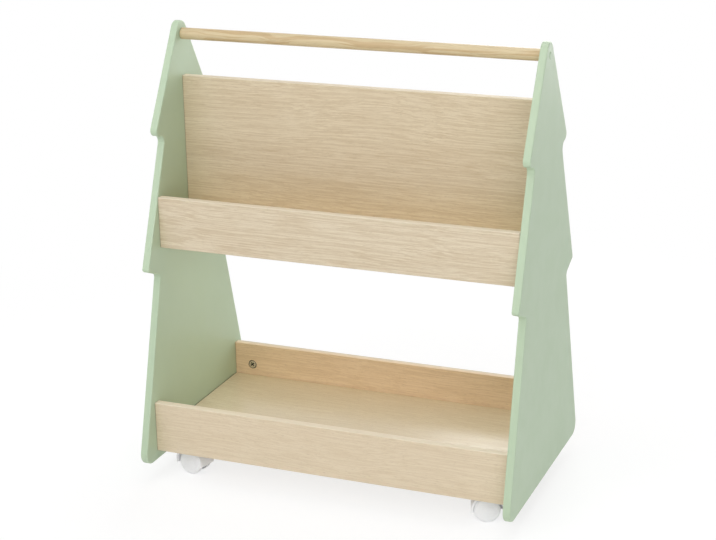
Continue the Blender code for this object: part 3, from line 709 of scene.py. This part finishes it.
def dress_rail(finish, cap_finish, screw_finish):
    """Turn the round rail with eased ends, and its screws with domed cover caps."""
    low, high = map(np.array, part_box("handle_rail"))
    radius, middle = (high[2] - low[2]) / 2, (low + high) / 2
    half = (high[0] - low[0]) / 2
    rail = turned(rod(radius, half, -half, RAIL_END_ROUND, RAIL_END_ROUND),
                  5, 96, 0.0006)
    add_piece("rail", [placed(rail, middle, Y_AXIS, Z_AXIS, X_AXIS)], finish, "rack",
              "pine", "handle_rail")
    cap = turned(CAP_PROFILE, 5, 64, 0.0002)
    head = turned(RAIL_SCREW_PROFILE, 3, 48)
    thread = threaded(core=0.0013, crest=0.0020, pitch=0.0018, length=0.0275, tip=0.004)
    for label, side in (("left", -1), ("right", 1)):
        low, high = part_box("side_panel_" + label)
        face = (high if side > 0 else low)[0]
        outward = X_AXIS * side
        seat = (face - side * CAP_FOOT, 0, middle[2])
        foot = (face - side * RAIL_THREAD_START, 0, middle[2])
        add_piece("cap_" + label, [placed(cap, seat, Y_AXIS, Z_AXIS, outward)],
                  cap_finish, "rack", "mint_cap", "rail_screw_" + label)
        add_piece("screw_" + label, [placed(head, seat, Y_AXIS, Z_AXIS, outward),
                                     placed(thread, foot, Y_AXIS, Z_AXIS, outward)],
                  screw_finish, "rack", "nickel_steel", "rail_screw_" + label)


def dress_boards():
    """Give every board its own stretch of the printed oak, and its own look."""
    for index, (name, look) in enumerate(OAK_LOOKS.items()):
        low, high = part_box(name)
        upright = high[2] - low[2] > high[1] - low[1]
        look = dict(look)
        if "painted_bounce" in look:
            axis, start, full, shade = look["painted_bounce"]
            look["painted_bounce"] = (axis, low[axis] + start, low[axis] + full, shade)
        shift = (0.7 + 1.37 * index, 2.1 * index, 0.9 * index)
        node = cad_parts[name]
        node.data.materials.clear()
        node.data.materials.append(oak_laminate(
            "oak_" + name, shift, high[2] if upright else None, **look))


def dress_cams(finish):
    """Make every cam: a lid with a cross recess over a round wall, open to its bolt."""
    lid = cross_head(CAM_RIM, **CAM_CROSS)
    section = rounded_box((CAM_WALL_INSIDE + 0.0001, -CAM_HEIGHT),
                          (CAM_RADIUS, CAM_LAP - CAM_LID), [0.0002] * 4, 2, 0.0002)
    points, faces = arc_band(section, *CAM_WALL_ENDS, 60)
    wall = (points[:, [0, 2, 1]], faces)
    # How far each point lies below the lid's face, for the shade painted into the
    # hollows
    hollow_shade = np.concatenate([smoothstep(-shell[0][:, 2], *CAM_SHADE_DEPTHS)
                           for shell in (lid, wall)])
    for name in sorted(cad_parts):
        if not name.startswith("cam_") or name.startswith("cam_bolt_"):
            continue
        low, high = map(np.array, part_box(name))
        centre = (low + high) / 2
        outward = X_AXIS * (1 if centre[0] > 0 else -1)
        if "_floor_" in name or "_shelf_" in name:
            up = -Z_AXIS
        elif "front" in name or "divider" in name:
            up = Y_AXIS
        else:
            up = -Y_AXIS
        side, top = np.cross(up, outward), centre + up * CAM_HEIGHT / 2
        shells = [placed(shell, top, outward, side, up) for shell in (lid, wall)]
        piece = add_piece("lock_" + name[4:], shells, finish, "rack", "zinc_alloy",
                          name)
        store(piece, "hollow_shade", hollow_shade)


def dress_hidden_steel(steel):
    """Give the bolts and the axles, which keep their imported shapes, their plating."""
    for name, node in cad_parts.items():
        if name.startswith("cam_bolt_") or name.endswith("_axle"):
            node.data.materials.clear()
            node.data.materials.append(steel)


# Casters

def hood_shells():
    """The hood over both wheels: a round-edged band, its web, collar, boss and hub."""
    section = rounded_box((HOOD_INNER, -HOOD_HALF_WIDTH), (HOOD_OUTER, HOOD_HALF_WIDTH),
                          [HOOD_OUTER_ROUND] * 2 + [HOOD_INNER_ROUND] * 2)
    dip = np.arcsin(HOOD_EDGE_DROP / section[:, 0])
    band = arc_band(section, -dip, math.pi + dip, 72)
    centre = np.array((HOOD_CENTRE, 0, WHEEL_RADIUS))
    band = placed(band, centre, X_AXIS, Y_AXIS, Z_AXIS)
    reach = (HOOD_INNER + HOOD_OUTER) / 2
    start = -math.asin((HOOD_EDGE_DROP - 0.0002) / reach)
    a = np.linspace(start, math.pi / 2, 30)
    arc = np.stack((np.cos(a), np.sin(a)), axis=1)
    arc[-1, 0] = 0.0
    web = slab(arc * reach, arc, WEB_THICKNESS, 0.0002, 3, 0.0003)
    web = placed(web, centre, X_AXIS, Z_AXIS, Y_AXIS)
    points, faces = turned(rod(COLLAR_RADIUS, COLLAR_TOP, COLLAR_FOOT, 0.0008, 0.0008),
                           5, 64, 0.0004)
    # The collar ends inside the band, whose middle is the circle of this reach
    middle = np.sqrt(np.maximum(reach ** 2 - (points[:, 0] - HOOD_CENTRE) ** 2, 0))
    points[:, 2] = np.maximum(points[:, 2], WHEEL_RADIUS + middle)
    boss = turned(rod(BOSS_RADIUS, BOSS_TOP, BOSS_FOOT, 0.0005, 0.0008), 4, 40, 0.0003)
    hub = turned(rod(HUB_RADIUS, HUB_HALF_LENGTH, -HUB_HALF_LENGTH, 0.0004, 0.0004),
                 4, 40, 0.0003)
    hub = placed(hub, (TRAIL, 0, WHEEL_RADIUS), X_AXIS, Z_AXIS, Y_AXIS)
    return [band, web, (points, faces), boss, hub]


def plate_shells():
    """A caster's plate, top face at z = 0: sheet, ball race, kingpin, four screws."""
    corners = [(0, -PLATE_HALF), (PLATE_HALF, -PLATE_HALF), (PLATE_HALF, PLATE_HALF),
               (0, PLATE_HALF)]
    path, normals = eased(corners, [PLATE_CORNER_ROUND] * 2, 8, 0.0006)
    sheet = slab(path[2:-2], normals[2:-2], PLATE_THICKNESS, 0.0004, 4, 0.0003)
    sheet = placed(sheet, (0, 0, -PLATE_THICKNESS / 2), X_AXIS, Y_AXIS, Z_AXIS)
    shells = [sheet, turned(RACE_PROFILE, 5, 64, 0.0002)]
    head = cross_head(WOOD_SCREW_RIM, **WOOD_SCREW_CROSS)
    thread = threaded(core=0.0011, crest=0.0017, pitch=0.0013, length=0.0105,
                      tip=0.003, columns=16)
    for x in (-WOOD_SCREW_PLACE, WOOD_SCREW_PLACE):
        for y in (-WOOD_SCREW_PLACE, WOOD_SCREW_PLACE):
            for shell, start in ((head, WOOD_SCREW_HEAD), (thread, WOOD_SCREW_THREAD)):
                shells.append(placed(shell, (x, y, start), X_AXIS, Y_AXIS, -Z_AXIS))
    return shells


def dress_casters(nylon, steel):
    """Put the hood, the plate and both wheels of every caster in their places."""
    hood, plate = hood_shells(), plate_shells()
    wheel = turned(WHEEL_PROFILE, 4, 72)
    for corner, turn in CASTER_TURNS.items():
        name = "caster_" + corner
        low, high = map(np.array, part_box(name + "_plate"))
        x, y = (low[:2] + high[:2]) / 2
        top = high[2]
        c, s = math.cos(math.radians(turn)), math.sin(math.radians(turn))
        trail, aside = np.array((c, s, 0)), np.array((-s, c, 0))
        shells = [placed(shell, (x, y, top), X_AXIS, Y_AXIS, Z_AXIS) for shell in plate]
        add_piece(f"plate_{corner}", shells, steel, "rack", "nickel_steel",
                  name + "_plate")
        shells = [placed(shell, (x, y, 0), trail, aside, Z_AXIS) for shell in hood]
        add_piece(f"hood_{corner}", shells, nylon, name, "white_nylon", name + "_hood")
        for label, side in (("a", -1), ("b", 1)):
            seat = np.array((x, y, WHEEL_RADIUS)) + trail * TRAIL
            seat = seat + aside * side * WHEEL_SEAT
            shell = placed(wheel, seat, trail, Z_AXIS, aside * side)
            add_piece(f"wheel_{corner}_{label}", [shell], nylon,
                      f"wheel_{corner}_{label}", "white_nylon",
                      f"{name}_wheel_{label}")


# The studio

def make_floor():
    """A wide pale floor that looks white far off and keeps the shadow close by."""
    size = FLOOR_HALF
    mesh = bpy.data.meshes.new("floor")
    points = [(-size, -size, 0), (size, -size, 0), (size, size, 0), (-size, size, 0)]
    mesh.from_pydata(points, [], [[0, 1, 2, 3]])
    floor = bpy.data.objects.new("floor", mesh)
    bpy.context.scene.collection.objects.link(floor)
    f = Finish("pale_floor", **{"Roughness": 0.9, "Specular IOR Level": 0.0})
    tone = f.mixed(f.noise(f.place, 3.0), FLOOR_SHADE, FLOOR_PALE)
    f.tree.links.new(tone, f.shader.inputs["Base Color"])
    shade = f.node("ShaderNodeBsdfDiffuse", {}, {"Color": FLOOR_DIM})
    glow = f.node("ShaderNodeEmission", {}, {"Color": WHITE, "Strength": FLOOR_GLOW})
    lit = f.node("ShaderNodeAddShader", {}, {0: shade.outputs[0], 1: glow.outputs[0]})
    white = f.node("ShaderNodeEmission", {}, {"Color": WHITE, "Strength": 1.0})
    x, y, _ = f.split()
    reach = (x * x + y * y).math("SQRT")
    far = f.between(reach, FLOOR_WHITE_FROM, FLOOR_WHITE_BEYOND)
    both = f.either(f.seen_directly(), f.shader, f.either(far, lit, white))
    f.tree.links.new(both.outputs[0], f.output.inputs["Surface"])
    mesh.materials.append(f.material)


def make_world():
    """A surround that is seen as white and lights the object faintly and evenly."""
    world = bpy.data.worlds.new("studio")
    world.use_nodes = True
    bpy.context.scene.world = world
    f = Nodes(world.node_tree)
    soft = f.node("ShaderNodeBackground", {}, {"Color": WHITE, "Strength": WORLD_LEVEL})
    white = f.node("ShaderNodeBackground", {}, {"Color": WHITE, "Strength": 1.0})
    both = f.either(f.seen_directly(), soft, white)
    f.node("ShaderNodeOutputWorld", {}, {"Surface": both.outputs[0]})


def looking(place, aim):
    """A matrix whose -Z axis points from a place to an aim."""
    turn = (Vector(aim) - Vector(place)).to_track_quat("-Z", "Y")
    matrix = turn.to_matrix().to_4x4()
    matrix.translation = place
    return matrix


def make_softbox(name, place, size, level):
    """A square softbox that adds this level to a surface facing it at its aim."""
    light = bpy.data.lights.new(name, "AREA")
    light.size = size
    reach = np.linalg.norm(np.subtract(place, SOFTBOX_AIM))
    light.energy = level * (math.pi * reach) ** 2
    lamp = bpy.data.objects.new(name, light)
    bpy.context.scene.collection.objects.link(lamp)
    lamp.matrix_world = looking(place, SOFTBOX_AIM)


def make_camera():
    """The photograph's viewpoint: yaw, pitch and roll about the lens, then its shift."""
    yaw, pitch, roll = (math.radians(turn) for turn in CAMERA_TURNS)
    ahead = np.array((-math.sin(yaw) * math.cos(pitch), math.cos(yaw) * math.cos(pitch),
                      math.sin(pitch)))
    level = np.array((math.cos(yaw), math.sin(yaw), 0.0))
    upright = np.cross(level, ahead)
    right = math.cos(roll) * level + math.sin(roll) * upright
    up = math.cos(roll) * upright - math.sin(roll) * level
    data = bpy.data.cameras.new("camera")
    data.sensor_width, data.lens = CAMERA_SENSOR, CAMERA_LENS
    data.shift_x, data.shift_y = CAMERA_SHIFT
    data.clip_end = 100.0
    camera = bpy.data.objects.new("camera", data)
    bpy.context.scene.collection.objects.link(camera)
    matrix = np.eye(4)
    matrix[:3, 0], matrix[:3, 1], matrix[:3, 2] = right, up, -ahead
    matrix[:3, 3] = CAMERA_PLACE
    camera.matrix_world = Matrix(matrix.tolist())
    bpy.context.scene.camera = camera


def dress():
    """Set up the camera, dress the frame, and light it."""
    make_camera()
    steel = nickel_steel("nickel_skin")
    dress_panels(mint_lacquer("mint_lacquer_skin"))
    dress_rail(varnished_pine("pine_skin"), mint_cap("mint_cap_skin"), steel)
    dress_boards()
    dress_cams(cast_zinc("zinc_skin"))
    dress_hidden_steel(steel)
    dress_casters(white_nylon("nylon_skin"), steel)
    make_floor()
    make_world()
    for softbox in SOFTBOXES:
        make_softbox(*softbox)
    bpy.context.scene.view_settings.view_transform = "Standard"


dress()
